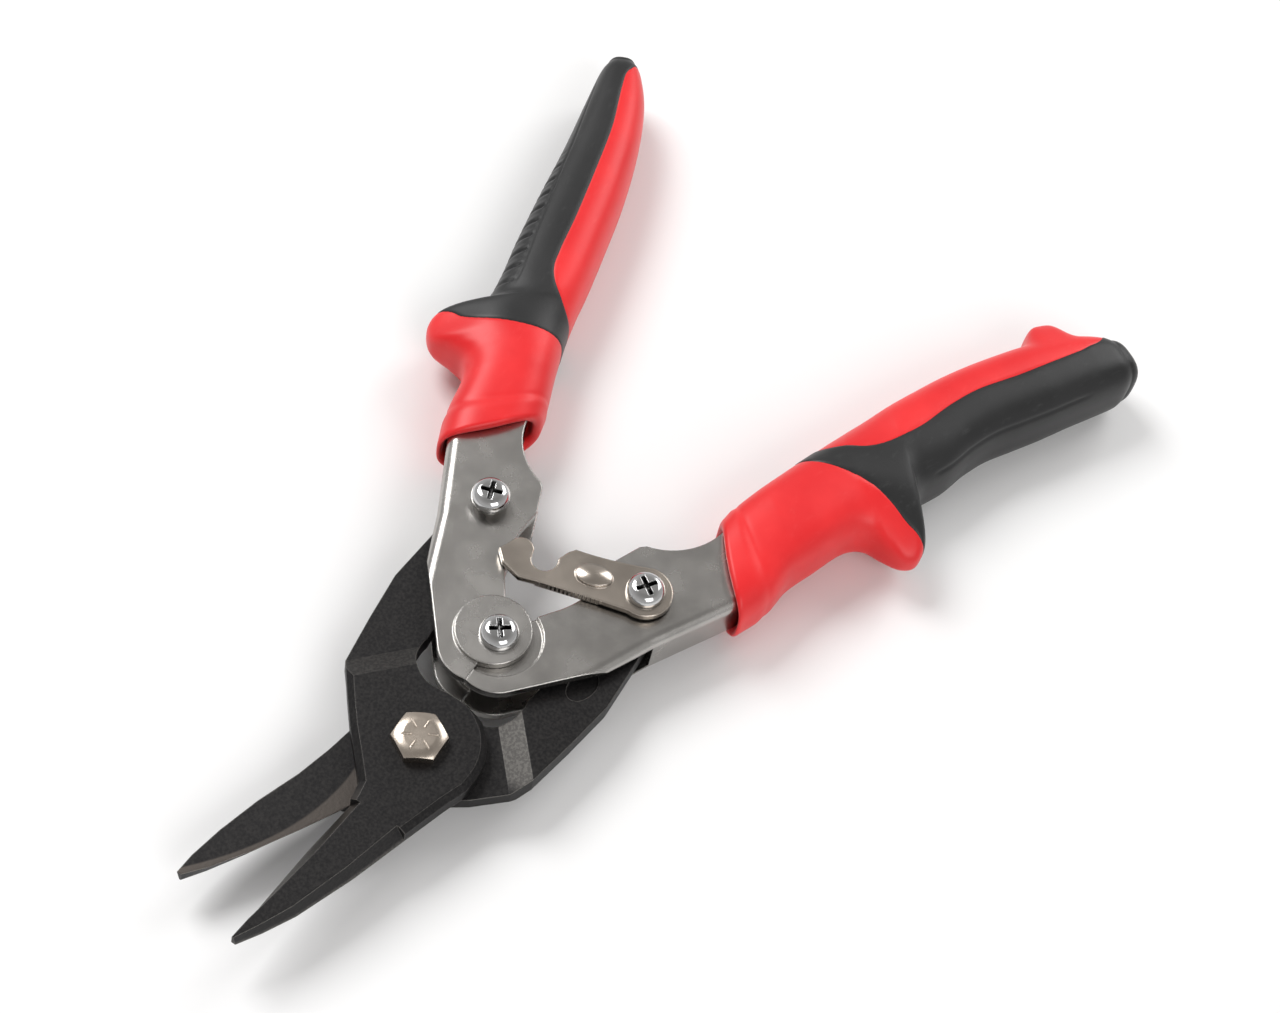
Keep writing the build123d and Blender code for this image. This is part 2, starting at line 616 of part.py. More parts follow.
right_grip_core, right_grip_cover = grip(
    1,
    outline=[
        (10.0, 59.0), (7.2, 65.6), (3.6, 72.4), (0.6, 81.1), (-1.8, 88.4), (-2.2, 93.4),
        (1.8, 97.6), (6.8, 99.8), (7.6, 104.4), (2.4, 107.7), (-4.4, 108.6), (-8.8, 112.0),
        (-11.1, 120.9), (-14.3, 127.9), (-16.5, 135.3), (-18.6, 152.4), (-20.4, 161.5),
        (-21.5, 170.3), (-22.4, 178.6), (-27.6, 183.6), (-34.4, 183.0), (-38.6, 177.4),
        (-41.4, 169.6), (-46.4, 165.6), (-46.8, 161.8), (-43.4, 155.4), (-40.6, 149.0),
        (-39.7, 142.0), (-38.7, 132.7), (-35.7, 119.4), (-32.3, 106.9), (-28.1, 94.3),
        (-25.2, 85.3), (-22.4, 77.4), (-18.2, 66.0), (-15.0, 62.2), (-8.0, 59.6), (1.9, 58.0),
        (7.8, 56.4),
    ],
    front=[(-60, 78.0), (-23.5, 84.0), (-17.6, 91.3), (-11.8, 97.0), (-5.8, 100.4),
           (-0.5, 101.7), (5.4, 102.1), (20, 102.6)],
    inlay=[
        (-28.4, 88.0), (-23.8, 97.8), (-22.1, 102.4), (-22.0, 108.5), (-23.8, 117.1),
        (-27.2, 126.5), (-29.5, 135.5), (-30.8, 148.2), (-32.6, 161.2), (-33.9, 168.5),
        (-37.0, 176.0), (-45, 177.5),
    ],
)
write(left_grip_core, "left_grip_core")
write(left_grip_cover, "left_grip_cover")
write(right_grip_core, "right_grip_core")
write(right_grip_cover, "right_grip_cover")
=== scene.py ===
import json
import math

import bpy
import numpy as np
from mathutils import Matrix, Vector


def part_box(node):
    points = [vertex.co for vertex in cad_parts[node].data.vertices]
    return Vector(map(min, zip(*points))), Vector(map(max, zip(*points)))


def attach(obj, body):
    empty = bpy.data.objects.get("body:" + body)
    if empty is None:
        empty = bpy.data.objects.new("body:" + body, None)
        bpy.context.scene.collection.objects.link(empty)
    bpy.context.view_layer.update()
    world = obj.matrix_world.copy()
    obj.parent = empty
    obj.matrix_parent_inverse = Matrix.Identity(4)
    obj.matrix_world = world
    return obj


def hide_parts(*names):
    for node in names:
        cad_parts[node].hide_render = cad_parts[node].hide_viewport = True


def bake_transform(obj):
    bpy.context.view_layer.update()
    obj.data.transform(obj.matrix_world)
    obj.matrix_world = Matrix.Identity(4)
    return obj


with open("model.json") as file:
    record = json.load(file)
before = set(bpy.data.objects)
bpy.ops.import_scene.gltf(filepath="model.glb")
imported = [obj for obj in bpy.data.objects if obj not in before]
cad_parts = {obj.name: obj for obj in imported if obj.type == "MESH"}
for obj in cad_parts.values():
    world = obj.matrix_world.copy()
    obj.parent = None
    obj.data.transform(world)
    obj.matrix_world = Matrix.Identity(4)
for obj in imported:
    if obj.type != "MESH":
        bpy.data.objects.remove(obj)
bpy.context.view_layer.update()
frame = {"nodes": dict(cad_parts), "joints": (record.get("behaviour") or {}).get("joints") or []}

MM = 0.001

# ---------------------------------------------------------------- the table and the light
# The snips lie open on a plain white table. Large soft lamps stand round it, and a grey room
# shows in the bright metal.

FLOOR_HALF = 3.0
CAMERA_PLACE = (109.7 * MM, -209.1 * MM, 490.7 * MM)
CAMERA_AIM = (6.3 * MM, 83.8 * MM, 11.0 * MM)
CAMERA_ROLL = 14.63
LENS = 67.5
LAMP_AIM = (0, 0.07, 0)


def node(tree, kind, **values):
    """A node with its settings and its plain input values."""
    made = tree.nodes.new(kind)
    for name, value in values.items():
        if hasattr(made, name):
            setattr(made, name, value)
        else:
            made.inputs[name.replace("_", " ")].default_value = value
    return made


def new_material(name, **shader):
    """A material with one Principled shader, whose plain values are given by name."""
    material = bpy.data.materials.new(name)
    material.use_nodes = True
    tree = material.node_tree
    principled = tree.nodes["Principled BSDF"]
    for key, value in shader.items():
        principled.inputs[key.replace("_", " ")].default_value = value
    return material, tree, principled


def dress(names, material):
    """Puts a material on CAD nodes."""
    for name in names:
        piece = frame["nodes"][name]
        piece.data.materials.clear()
        piece.data.materials.append(material)


def white_table():
    mesh = bpy.data.meshes.new("table_top")
    h = FLOOR_HALF
    mesh.from_pydata([(-h, -h, 0), (h, -h, 0), (h, h, 0), (-h, h, 0)], [], [(0, 1, 2, 3)])
    top = bpy.data.objects.new("table_top", mesh)
    bpy.context.scene.collection.objects.link(top)
    material, tree, principled = new_material("white_table", Roughness=0.55)
    cloud = node(tree, "ShaderNodeTexNoise", Scale=2.5, Detail=2.0)
    place = node(tree, "ShaderNodeTexCoord")
    tint = node(tree, "ShaderNodeMix", data_type="RGBA")
    tint.inputs[6].default_value = (0.80, 0.795, 0.79, 1)
    tint.inputs[7].default_value = (0.84, 0.84, 0.845, 1)
    tree.links.new(place.outputs["Object"], cloud.inputs["Vector"])
    tree.links.new(cloud.outputs["Fac"], tint.inputs[0])
    tree.links.new(tint.outputs[2], principled.inputs["Base Color"])
    mesh.materials.append(material)


def soft_lamp(name, place, size, power):
    """A square soft box at a place, facing the snips."""
    data = bpy.data.lights.new(name, "AREA")
    data.shape = "SQUARE"
    data.size = size
    data.energy = power
    lamp = bpy.data.objects.new(name, data)
    bpy.context.scene.collection.objects.link(lamp)
    lamp.location = place
    turn = (Vector(LAMP_AIM) - Vector(place)).to_track_quat("-Z", "Y")
    lamp.rotation_euler = turn.to_euler()


bpy.context.scene.view_settings.view_transform = "Standard"
white_table()
soft_lamp("key", (-0.75, 0.25, 0.95), 0.55, 10.0)
soft_lamp("fill", (0.8, -0.45, 0.8), 0.7, 5.5)
soft_lamp("back", (0.25, 1.1, 0.75), 0.6, 5.0)

world = bpy.data.worlds.new("room")
world.use_nodes = True
bpy.context.scene.world = world
sky = world.node_tree
backdrop = sky.nodes["Background"]
backdrop.inputs["Strength"].default_value = 0.72
height = node(sky, "ShaderNodeSeparateXYZ")
view = node(sky, "ShaderNodeTexCoord")
ramp = node(sky, "ShaderNodeValToRGB")
ramp.color_ramp.elements[0].position = 0.0
ramp.color_ramp.elements[0].color = (0.85, 0.85, 0.86, 1)
ramp.color_ramp.elements[1].position = 1.0
ramp.color_ramp.elements[1].color = (0.42, 0.41, 0.40, 1)
middle = ramp.color_ramp.elements.new(0.45)
middle.color = (0.75, 0.74, 0.73, 1)
sky.links.new(view.outputs["Generated"], height.inputs[0])
sky.links.new(height.outputs["Z"], ramp.inputs[0])
sky.links.new(ramp.outputs[0], backdrop.inputs["Color"])

lens = bpy.data.cameras.new("camera")
lens.lens = LENS
lens.sensor_width = 36.0
lens.sensor_fit = "HORIZONTAL"
lens.clip_start = 0.01
camera = bpy.data.objects.new("camera", lens)
bpy.context.scene.collection.objects.link(camera)
look = (Vector(CAMERA_AIM) - Vector(CAMERA_PLACE)).to_track_quat("-Z", "Y")
camera_roll = Matrix.Rotation(math.radians(CAMERA_ROLL), 3, "Z")
camera.rotation_euler = (look.to_matrix() @ camera_roll).to_euler()
camera.location = CAMERA_PLACE
bpy.context.scene.camera = camera

# ---------------------------------------------------------------- the jaws
# Two drop-forged jaws, quenched and black-oxided. Their flanks keep the forging's fine grain,
# the bevels at the edges are ground to bare grey-brown steel, and the corners are rubbed bright.


def group(name, inputs, outputs):
    """A node group with named inputs (kind, default) and outputs (kind)."""
    tree = bpy.data.node_groups.new(name, "ShaderNodeTree")
    for label, (kind, default) in inputs.items():
        socket = tree.interface.new_socket(name=label, in_out="INPUT", socket_type=kind)
        if default is not None:
            socket.default_value = default
    for label, kind in outputs.items():
        tree.interface.new_socket(name=label, in_out="OUTPUT", socket_type=kind)
    return tree, tree.nodes.new("NodeGroupInput"), tree.nodes.new("NodeGroupOutput")


def use(tree, name, **values):
    """Places a node group in a material, with its values."""
    made = tree.nodes.new("ShaderNodeGroup")
    made.node_tree = bpy.data.node_groups[name]
    for key, value in values.items():
        made.inputs[key.replace("_", " ")].default_value = value
    return made


def make_grain_group():
    """Fine grain in two sizes: a mottled mask, and a bumped normal."""
    tree, given, made = group(
        "grain",
        {
            "Size": ("NodeSocketFloat", 900.0),
            "Cloud": ("NodeSocketFloat", 60.0),
            "Depth": ("NodeSocketFloat", 0.02 * MM),
            "Under": ("NodeSocketVector", (0.0, 0.0, 0.0)),
        },
        {"Mottle": "NodeSocketFloat", "Fine": "NodeSocketFloat", "Normal": "NodeSocketVector"},
    )
    link = tree.links.new
    place = node(tree, "ShaderNodeTexCoord")
    fine = node(tree, "ShaderNodeTexNoise", Detail=3.0, Roughness=0.6)
    cloud = node(tree, "ShaderNodeTexNoise", Detail=4.0, Roughness=0.55)
    bump = node(tree, "ShaderNodeBump", Strength=1.0)
    link(place.outputs["Object"], fine.inputs["Vector"])
    link(place.outputs["Object"], cloud.inputs["Vector"])
    link(given.outputs["Size"], fine.inputs["Scale"])
    link(given.outputs["Cloud"], cloud.inputs["Scale"])
    link(given.outputs["Depth"], bump.inputs["Distance"])
    link(fine.outputs["Fac"], bump.inputs["Height"])
    link(given.outputs["Under"], bump.inputs["Normal"])
    link(cloud.outputs["Fac"], made.inputs["Mottle"])
    link(fine.outputs["Fac"], made.inputs["Fine"])
    link(bump.outputs["Normal"], made.inputs["Normal"])


def make_wear_and_shade_group():
    """Rounds the corners over a radius in metres. Where the rounded normal leaves the face's
    own, the plating is rubbed, and where little light reaches, it gives painted shade."""
    tree, given, made = group(
        "corners",
        {"Radius": ("NodeSocketFloat", 0.3 * MM), "Break": ("NodeSocketFloat", 400.0)},
        {"Rubbed": "NodeSocketFloat", "Dirt": "NodeSocketFloat", "Normal": "NodeSocketVector"},
    )
    link = tree.links.new
    place = node(tree, "ShaderNodeTexCoord")
    shape = node(tree, "ShaderNodeNewGeometry")
    noise = node(tree, "ShaderNodeTexNoise", Detail=3.0)
    rounded = node(tree, "ShaderNodeBevel", samples=6)
    agree = node(tree, "ShaderNodeVectorMath", operation="DOT_PRODUCT")
    shift = node(tree, "ShaderNodeMath", operation="MULTIPLY_ADD")
    shift.inputs[1].default_value = 0.08
    hidden = node(tree, "ShaderNodeAmbientOcclusion", samples=6)
    hidden.inputs["Distance"].default_value = 1.6 * MM
    link(given.outputs["Radius"], rounded.inputs["Radius"])
    link(rounded.outputs["Normal"], agree.inputs[0])
    link(shape.outputs["Normal"], agree.inputs[1])
    link(place.outputs["Object"], noise.inputs["Vector"])
    link(given.outputs["Break"], noise.inputs["Scale"])
    link(noise.outputs["Fac"], shift.inputs[0])
    link(agree.outputs["Value"], shift.inputs[2])
    open_air = band(tree, hidden.outputs["AO"], 0.55, 0.85)
    rubbed = maths(tree, "MULTIPLY", band(tree, shift.outputs[0], 0.98, 0.84), open_air)
    link(rubbed, made.inputs["Rubbed"])
    # The second output is painted shade: it rises where ambient occlusion finds surfaces close by.
    link(band(tree, hidden.outputs["AO"], 0.55, 0.25), made.inputs["Dirt"])
    link(rounded.outputs["Normal"], made.inputs["Normal"])


def mix_colour(tree, factor, low, high):
    """Mixes two colours, each a plain value or a socket, by a socket."""
    made = node(tree, "ShaderNodeMix", data_type="RGBA")
    tree.links.new(factor, made.inputs[0])
    for socket, value in ((made.inputs[6], low), (made.inputs[7], high)):
        if isinstance(value, tuple):
            socket.default_value = (*value, 1)
        else:
            tree.links.new(value, socket)
    return made.outputs[2]


def mix_value(tree, factor, low, high):
    """Mixes two numbers, each a plain value or a socket, by a socket."""
    made = node(tree, "ShaderNodeMix", data_type="FLOAT")
    tree.links.new(factor, made.inputs[0])
    for socket, value in ((made.inputs[2], low), (made.inputs[3], high)):
        if isinstance(value, float):
            socket.default_value = value
        else:
            tree.links.new(value, socket)
    return made.outputs[0]


def maths(tree, operation, *values):
    """A Math node on plain values or sockets."""
    made = node(tree, "ShaderNodeMath", operation=operation)
    for socket, value in zip(made.inputs, values):
        if isinstance(value, (int, float)):
            socket.default_value = value
        else:
            tree.links.new(value, socket)
    return made.outputs[0]


def band(tree, value, start, end):
    """0 below start and 1 above end, smooth between. start may be above end."""
    made = node(tree, "ShaderNodeMapRange", interpolation_type="SMOOTHSTEP")
    tree.links.new(value, made.inputs["Value"])
    made.inputs["From Min"].default_value = start
    made.inputs["From Max"].default_value = end
    return made.outputs["Result"]


def millimetres(tree):
    """The object's coordinates in millimetres, as separate x, y and z sockets."""
    place = node(tree, "ShaderNodeTexCoord")
    scale = node(tree, "ShaderNodeVectorMath", operation="SCALE")
    scale.inputs["Scale"].default_value = 1000.0
    split = node(tree, "ShaderNodeSeparateXYZ")
    tree.links.new(place.outputs["Object"], scale.inputs[0])
    tree.links.new(scale.outputs[0], split.inputs[0])
    return split.outputs["X"], split.outputs["Y"], split.outputs["Z"]


def facing(tree, direction):
    """How far the surface faces a direction, in the piece's own axes."""
    place = node(tree, "ShaderNodeTexCoord")
    dot = node(tree, "ShaderNodeVectorMath", operation="DOT_PRODUCT")
    tree.links.new(place.outputs["Normal"], dot.inputs[0])
    dot.inputs[1].default_value = direction
    return dot.outputs["Value"]


make_grain_group()
make_wear_and_shade_group()

OXIDE_DARK, OXIDE_PALE = (0.0085, 0.008, 0.0085), (0.024, 0.0225, 0.022)
GROUND_STEEL, BARE_STEEL = (0.085, 0.073, 0.064), (0.42, 0.40, 0.37)
SHEAR_BORDER = (0.01145, -0.315, 11.0)  # millimetres, along the blade from the bolt


def oxide_steel(name, ground_mask):
    """Black oxide over forged grain. ground_mask gives where it is ground off, and how bright."""
    material, tree, principled = new_material(name, Metallic=0.72, Specular_IOR_Level=0.5)
    grain = use(tree, "grain", Size=1500.0, Cloud=110.0, Depth=0.035 * MM)
    corners = use(tree, "corners", Radius=0.45 * MM, Break=500.0)
    tree.links.new(corners.outputs["Normal"], grain.inputs["Under"])
    colour = mix_colour(tree, band(tree, grain.outputs["Fine"], 0.3, 0.75), OXIDE_DARK, OXIDE_PALE)
    ground, bright = ground_mask(tree)
    streak = node(tree, "ShaderNodeTexNoise", Scale=420.0, Detail=5.0)
    ground_colour = mix_colour(tree, streak.outputs["Fac"], (0.05, 0.043, 0.038), GROUND_STEEL)
    colour = mix_colour(tree, ground, colour, ground_colour)
    chips = band(tree, grain.outputs["Fine"], 0.44, 0.58)
    bright = maths(tree, "MULTIPLY", bright, maths(tree, "MULTIPLY_ADD", chips, 0.16, 0.22))
    colour = mix_colour(tree, bright, colour, BARE_STEEL)
    rubbed = maths(tree, "MULTIPLY", corners.outputs["Rubbed"], 0.45)
    colour = mix_colour(tree, rubbed, colour, BARE_STEEL)
    rough = mix_value(tree, grain.outputs["Fine"], 0.36, 0.62)
    rough = mix_value(tree, ground, rough, 0.40)
    tree.links.new(colour, principled.inputs["Base Color"])
    tree.links.new(rough, principled.inputs["Roughness"])
    tree.links.new(grain.outputs["Normal"], principled.inputs["Normal"])
    return material


def upper_ground(tree):
    """The upper blade's bevel faces its cutting edge, on the blade only."""
    x, y, z = millimetres(tree)
    blade = band(tree, y, -15.0, -19.0)
    bevel = band(tree, facing(tree, (-0.82, 0.0, 0.57)), 0.80, 0.93)
    edge = band(tree, z, 12.4, 11.2)
    ground = maths(tree, "MULTIPLY", blade, bevel)
    bright = maths(tree, "MULTIPLY", maths(tree, "MULTIPLY", blade, edge), 0.55)
    ramp_face = band(tree, facing(tree, (-0.332, 0.299, 0.894)), 0.97, 0.99)
    bright = maths(tree, "MAXIMUM", bright, maths(tree, "MULTIPLY", ramp_face, 0.22))
    return maths(tree, "MULTIPLY", ground, 0.55), bright


def lower_ground(tree):
    """The lower blade's shear face is ground beside its curved edge, up to a parabola in y, and
    the step of its tail is filed bright."""
    x, y, z = millimetres(tree)
    t = maths(tree, "MULTIPLY", y, -1.0)
    square, slope, start = SHEAR_BORDER
    border = maths(tree, "MULTIPLY_ADD", t, square, slope)
    border = maths(tree, "MULTIPLY_ADD", border, t, start)
    past = maths(tree, "ADD", x, border)
    shear = band(tree, facing(tree, (0.0, 0.0, 1.0)), 0.90, 0.98)
    blade = band(tree, y, -8.0, -12.0)
    ground = maths(tree, "MULTIPLY", band(tree, past, -0.2, 0.5), blade)
    ground = maths(tree, "MULTIPLY", ground, shear)
    step = facing(tree, (-0.354, -0.319, 0.879))
    ramp_face = band(tree, step, 0.965, 0.99)
    ramp_side = band(tree, y, 3.0, 7.0)
    return ground, maths(tree, "MULTIPLY", maths(tree, "MULTIPLY", ramp_face, ramp_side), 0.6)


dress(["upper_jaw"], oxide_steel("upper_jaw_oxide", upper_ground))
dress(["lower_jaw"], oxide_steel("lower_jaw_oxide", lower_ground))

# ---------------------------------------------------------------- the blade bolt
# A nickel-plated hex bolt with six raised grade lines on its chamfered head, a plain washer and
# a lock nut. It clamps the two jaws face to face.


# The colour for the hollows, second argument from the end, is the colour of painted shade there.
def plated(name, colour, roughness, smear=0.12, grain_depth=0.004, size=2600.0, bump=None,
           rubbed=0.6, hollow_shade_colour=None, round_radius=0.3):
    """Plated steel: cloudy roughness, fine grain, rubbed bright corners, painted shade in hollows.
    bump may give a height socket in metres, set under the grain."""
    material, tree, principled = new_material(name, Metallic=1.0)
    grain = use(tree, "grain", Size=size, Cloud=90.0, Depth=grain_depth * MM)
    corners = use(tree, "corners", Radius=round_radius * MM, Break=700.0)
    tree.links.new(corners.outputs["Normal"], grain.inputs["Under"])
    dull = tuple(0.84 * part for part in colour)
    shade = mix_colour(tree, band(tree, grain.outputs["Mottle"], 0.3, 0.7), dull, colour)
    pale = tuple(min(1.0, 1.22 * part) for part in colour)
    edge = maths(tree, "MULTIPLY", corners.outputs["Rubbed"], rubbed)
    shade = mix_colour(tree, edge, shade, pale)
    # Painted shade: where little light reaches, the colour is pulled towards a dark one.
    painted_shade = maths(tree, "MULTIPLY", corners.outputs["Dirt"], 0.75)
    shade = mix_colour(tree, painted_shade, shade, hollow_shade_colour or (0.06, 0.055, 0.05))
    rough = mix_value(tree, grain.outputs["Mottle"], roughness - smear, roughness + smear)
    rough = mix_value(tree, edge, rough, 0.14)
    tree.links.new(shade, principled.inputs["Base Color"])
    tree.links.new(rough, principled.inputs["Roughness"])
    normal = grain.outputs["Normal"]
    if bump:
        raised = node(tree, "ShaderNodeBump", Strength=1.0, Distance=1.0)
        tree.links.new(bump(tree), raised.inputs["Height"])
        tree.links.new(normal, raised.inputs["Normal"])
        normal = raised.outputs["Normal"]
    tree.links.new(normal, principled.inputs["Normal"])
    return material


WARM_NICKEL = (0.56, 0.49, 0.42)
GRADE_LENGTH, GRADE_HALF, GRADE_HIGH = 2.5, 0.27, 0.22
GRADE_MIDDLE, GRADE_TURN = 2.95, math.radians(32)
HEAD_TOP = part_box("pivot_bolt")[1][2] * 1000.0


def grid_piece(name, points, flip):
    """A closed surface of rings (ring, place, xyz). Both ends close on one point each. flip turns
    the faces over, for rings that run clockwise seen from the first one."""
    rings, around = points.shape[:2]
    tail, nose = points[0].mean(axis=0), points[-1].mean(axis=0)
    places = np.vstack([points.reshape(-1, 3), tail, nose])
    ring, place = np.meshgrid(np.arange(rings - 1), np.arange(around), indexing="ij")
    beside = (place + 1) % around
    quads = np.stack([ring * around + place, ring * around + beside,
                      (ring + 1) * around + beside, (ring + 1) * around + place], -1).reshape(-1, 4)
    first, last = rings * around, rings * around + 1
    turn = np.arange(around)
    after = (turn + 1) % around
    foot = np.stack([after, turn, np.full(around, first)], -1)
    top_ring = (rings - 1) * around
    cap = np.stack([top_ring + turn, top_ring + after, np.full(around, last)], -1)
    if flip:
        quads, foot, cap = quads[:, ::-1], foot[:, ::-1], cap[:, ::-1]
    mesh = bpy.data.meshes.new(name)
    mesh.from_pydata(places.tolist(), [], quads.tolist() + foot.tolist() + cap.tolist())
    mesh.polygons.foreach_set("use_smooth", np.ones(len(mesh.polygons), bool))
    mesh.update()
    piece = bpy.data.objects.new(name, mesh)
    bpy.context.scene.collection.objects.link(piece)
    return piece


def grade_line(turn):
    """A raised line on the bolt's head: p = middle + L/2 t radial + k (half cos across +
    high sin up), with k = (1 - t^6)^(1/6) along it."""
    t = np.linspace(-0.999, 0.999, 25)[:, None]
    around = np.linspace(0, 2 * math.pi, 24, endpoint=False)[None]
    k = (1 - t**6) ** (1 / 6)
    far = GRADE_MIDDLE + GRADE_LENGTH / 2 * t + 0 * around
    aside = GRADE_HALF * k * np.cos(around)
    x = far * math.cos(turn) - aside * math.sin(turn)
    y = far * math.sin(turn) + aside * math.cos(turn)
    return np.stack([x, y, HEAD_TOP + GRADE_HIGH * k * np.sin(around)], -1) * MM


bolt_nickel = plated("bolt_nickel", WARM_NICKEL, 0.27)
dress(["pivot_bolt"], bolt_nickel)
for number in range(6):
    surface = grade_line(GRADE_TURN + number * math.pi / 3)
    line = grid_piece(f"bolt_grade_line_{number}", surface, False)
    line.data.materials.append(bolt_nickel)
    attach(line, "upper_jaw")
dress(["pivot_nut"], plated("nut_nickel", WARM_NICKEL, 0.3))
dress(["pivot_washer"], plated("washer_zinc", (0.6, 0.6, 0.59), 0.33))

# ---------------------------------------------------------------- the handles
# Two identical U channels pressed from steel sheet, one turned over. They are tumbled and nickel
# plated, so their faces are satin and the sheared edges are polished.

SATIN_NICKEL = (0.45, 0.435, 0.415)
for side, roughness, smear in (("left", 0.27, 0.06), ("right", 0.26, 0.07)):
    dress([side + "_handle"], plated(side + "_sheet_nickel", SATIN_NICKEL, roughness, smear=smear,
                                     grain_depth=0.012, size=3200.0, rubbed=0.9,
                                     round_radius=0.55))

# ---------------------------------------------------------------- screws, sleeves and washers
# Chromed pan-head screws with a cross recess stand in sleeve nuts. The sleeves are turned and
# zinc plated, and carry the handles and the jaws' tails.

CHROME = (0.62, 0.62, 0.62)
for name in ("handle_pivot_screw", "left_link_screw", "right_link_screw"):
    # The near-black colour for the hollows, such as the cross recess, is painted shade.
    dress([name], plated(name + "_chrome", CHROME, 0.13, smear=0.05, grain_depth=0.001, rubbed=0.3,
                         hollow_shade_colour=(0.02, 0.018, 0.016)))
for name in ("handle_pivot_sleeve", "left_link_sleeve", "right_link_sleeve", "left_tail_washers",
             "right_tail_washers", "latch_washer"):
    dress([name], plated(name + "_zinc", (0.46, 0.45, 0.44), 0.3, smear=0.08))

# ---------------------------------------------------------------- the latch
# A pressed lever with a hook, which swings over the other handle's collar and holds the snips
# shut. Its domed bump stiffens it, and its front lip is serrated for the thumb.

LIP_PITCH, LIP_DEEP = 0.95, 0.22
DOME_HIGH = 0.9
BUMP_PLACE, BUMP_TURN, BUMP_HALF = (9.6, 56.0), math.radians(18), (4.6, 3.2)


def serrations(tree):
    """Height of the lip's teeth: a cosine along the lip, on its upright faces only. Added to it
    is the dome of the bump, DOME_HIGH (1 - e^2) inside the ellipse e = 1."""
    x, y, z = millimetres(tree)
    wave = maths(tree, "COSINE", maths(tree, "MULTIPLY", x, 2 * math.pi / LIP_PITCH))
    side = band(tree, maths(tree, "ABSOLUTE", facing(tree, (0.0, 0.0, 1.0))), 0.6, 0.3)
    along = maths(tree, "MULTIPLY", band(tree, x, -1.0, 0.5), band(tree, x, 15.0, 14.0))
    front = band(tree, y, 54.0, 53.0)
    reach = maths(tree, "MULTIPLY", maths(tree, "MULTIPLY", side, along), front)
    teeth = maths(tree, "MULTIPLY", maths(tree, "MULTIPLY", wave, reach), LIP_DEEP * MM)
    x = maths(tree, "SUBTRACT", x, BUMP_PLACE[0])
    y = maths(tree, "SUBTRACT", y, BUMP_PLACE[1])
    cos, sin = math.cos(BUMP_TURN), math.sin(BUMP_TURN)
    p = maths(tree, "ADD", maths(tree, "MULTIPLY", x, cos), maths(tree, "MULTIPLY", y, sin))
    q = maths(tree, "SUBTRACT", maths(tree, "MULTIPLY", y, cos), maths(tree, "MULTIPLY", x, sin))
    p = maths(tree, "POWER", maths(tree, "DIVIDE", p, BUMP_HALF[0]), 2.0)
    q = maths(tree, "POWER", maths(tree, "DIVIDE", q, BUMP_HALF[1]), 2.0)
    dome = maths(tree, "MAXIMUM", maths(tree, "SUBTRACT", 1.0, maths(tree, "ADD", p, q)), 0.0)
    return maths(tree, "ADD", teeth, maths(tree, "MULTIPLY", dome, DOME_HIGH * MM))


LATCH_NICKEL = (0.54, 0.48, 0.42)
latch_metal = plated("latch_nickel", LATCH_NICKEL, 0.24, smear=0.08, grain_depth=0.006,
                     bump=serrations, round_radius=0.6)
dress(["latch_lever"], latch_metal)

# ---------------------------------------------------------------- the return spring
# Hard-drawn spring wire, oiled. Two turns round the handle pivot, and a leg along the inside of
# each handle.

joint_places = {j["name"]: np.array(j["pos_m"]) * 1000.0 for j in frame["joints"]}
PIVOT, LEFT_LINK = joint_places["handle_pivot"], joint_places["left_jaw_pivot"]
reach = math.dist(PIVOT[:2], LEFT_LINK[:2])
LEAN, OUT = (PIVOT[0] - LEFT_LINK[0]) / reach, (LEFT_LINK[1] - PIVOT[1]) / reach
WIRE_HALF = 0.75
COIL_RADIUS, COIL_TURNS, COIL_HALF = 5.35, 2.5 - math.degrees(math.asin(LEAN)) / 180, 2.3
WIRE_STEPS, WIRE_AROUND = 900, 20


def smooth_line(points, at):
    """A Catmull-Rom curve through rows of numbers, read at places given in steps of a row."""
    points = np.asarray(points, float)
    first, last = 2 * points[0] - points[1], 2 * points[-1] - points[-2]
    rows = np.vstack([first, points, last])
    k = np.clip(np.floor(at).astype(int), 0, len(points) - 2)
    t = (at - k)[:, None]
    a, b, c, d = rows[k], rows[k + 1], rows[k + 2], rows[k + 3]
    return 0.5 * (2 * b + (c - a) * t + (2 * a - 5 * b + 4 * c - d) * t**2
                  + (3 * b - a - 3 * c + d) * t**3)


def to_frame(side, u, v, w):
    """A handle's own millimetres (u out, v along, w up) as the frame's metres."""
    x = side * (u * OUT + v * LEAN)
    y = PIVOT[1] - u * LEAN + v * OUT
    return np.stack([x, y, PIVOT[2] + w], axis=-1) * MM


def wire_surface(points):
    """Round wire along a line: p = line + r (side cos + up sin), with side across the line and
    level, and up square to both."""
    line = smooth_line(points, np.linspace(0, len(points) - 1, WIRE_STEPS))
    along = np.gradient(line, axis=0)
    along /= np.linalg.norm(along, axis=1, keepdims=True)
    across = np.cross((0.0, 0.0, 1.0), along)
    across /= np.linalg.norm(across, axis=1, keepdims=True)
    upward = np.cross(along, across)
    turn = np.linspace(0, 2 * math.pi, WIRE_AROUND, endpoint=False)[None, :, None]
    ring = across[:, None] * np.cos(turn) + upward[:, None] * np.sin(turn)
    return line[:, None] + ring * WIRE_HALF * MM


